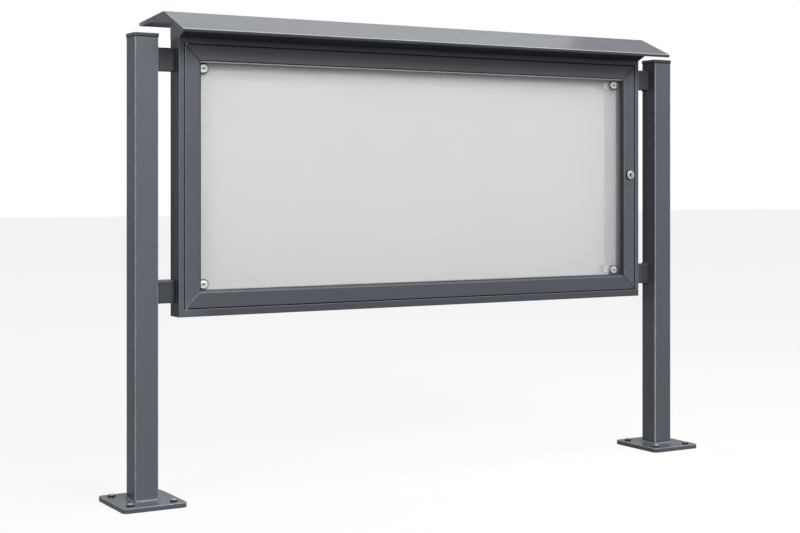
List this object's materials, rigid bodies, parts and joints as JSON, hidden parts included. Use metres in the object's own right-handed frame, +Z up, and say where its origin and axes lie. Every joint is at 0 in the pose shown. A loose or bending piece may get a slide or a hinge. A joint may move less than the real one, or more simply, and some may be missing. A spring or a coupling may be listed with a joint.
{
  "type": "lockable notice board",
  "caption": "Free-standing roofed notice board: shallow glazed case with a side-hung lockable door, held by arms between two posts on bolted base plates.",
  "frame": {"origin": "on the ground under the middle of the whole object", "axes": "+X runs along the board to the reader's right, +Y points to its back, +Z up; the glazed front faces -Y"},
  "size_m": [1.742, 0.2838, 1.1809],
  "materials": {
    "anthracite_paint": "anthracite powder coat, satin, fine grain",
    "board_enamel": "pale grey-white enamel, slightly glossy",
    "chrome": "bright plated",
    "clear_pane": "clear safety glass",
    "dark_rubber": "black rubber and foam",
    "black_plastic": "black, matt",
    "galvanised_steel": "zinc plated, dull"
  },
  "bodies": {
    "stand": {"anchor_bolt_left_back_left": "galvanised_steel", "anchor_bolt_left_back_right": "galvanised_steel", "anchor_bolt_left_front_left": "galvanised_steel", "anchor_bolt_left_front_right": "galvanised_steel", "anchor_bolt_right_back_left": "galvanised_steel", "anchor_bolt_right_back_right": "galvanised_steel", "anchor_bolt_right_front_left": "galvanised_steel", "anchor_bolt_right_front_right": "galvanised_steel", "arm_lower_left": "anthracite_paint", "arm_lower_right": "anthracite_paint", "arm_screw_lower_left": "galvanised_steel", "arm_screw_lower_right": "galvanised_steel", "arm_screw_upper_left": "galvanised_steel", "arm_screw_upper_right": "galvanised_steel", "arm_upper_left": "anthracite_paint", "arm_upper_right": "anthracite_paint", "back_sheet": "anthracite_paint", "base_plate_left": "anthracite_paint", "base_plate_right": "anthracite_paint", "case_bottom": "anthracite_paint", "case_left": "anthracite_paint", "case_right": "anthracite_paint", "case_top": "anthracite_paint", "display_board": "board_enamel", "door_seal": "dark_rubber", "lock_keeper": "galvanised_steel", "pivot_block_bottom": "galvanised_steel", "pivot_block_top": "galvanised_steel", "pivot_pin_bottom": "galvanised_steel", "pivot_pin_top": "galvanised_steel", "post_cap_left": "anthracite_paint", "post_cap_right": "anthracite_paint", "post_left": "anthracite_paint", "post_right": "anthracite_paint", "roof_cheek_left": "anthracite_paint", "roof_cheek_right": "anthracite_paint", "roof_rear_plate": "anthracite_paint", "roof_sheet": "anthracite_paint", "roof_soffit": "anthracite_paint", "stand_off_lower_left": "chrome", "stand_off_lower_right": "chrome", "stand_off_upper_left": "chrome", "stand_off_upper_right": "chrome"},
    "door": {"corner_cleat_bottom_left": "galvanised_steel", "corner_cleat_bottom_right": "galvanised_steel", "corner_cleat_top_left": "galvanised_steel", "corner_cleat_top_right": "galvanised_steel", "door_pane": "clear_pane", "door_rail_bottom": "anthracite_paint", "door_rail_top": "anthracite_paint", "door_stile_left": "anthracite_paint", "door_stile_right": "anthracite_paint", "lock_housing": "chrome", "lock_nut": "galvanised_steel", "lock_ring": "black_plastic", "pane_gasket": "dark_rubber"},
    "lock": {"lock_cam": "galvanised_steel", "lock_plug": "chrome"}
  },
  "joints": [
    {"name": "door_hinge", "type": "hinge", "parent": "stand", "child": "door", "pos_m": [-0.6845, -0.03683, 0.78], "axis": [0, 0, -1], "range_deg": [0, 110]},
    {"name": "lock_turn", "type": "hinge", "parent": "door", "child": "lock", "pos_m": [0.674, -0.04283, 0.79], "axis": [0, -1, 0], "range_deg": [0, 90]}
  ]
}
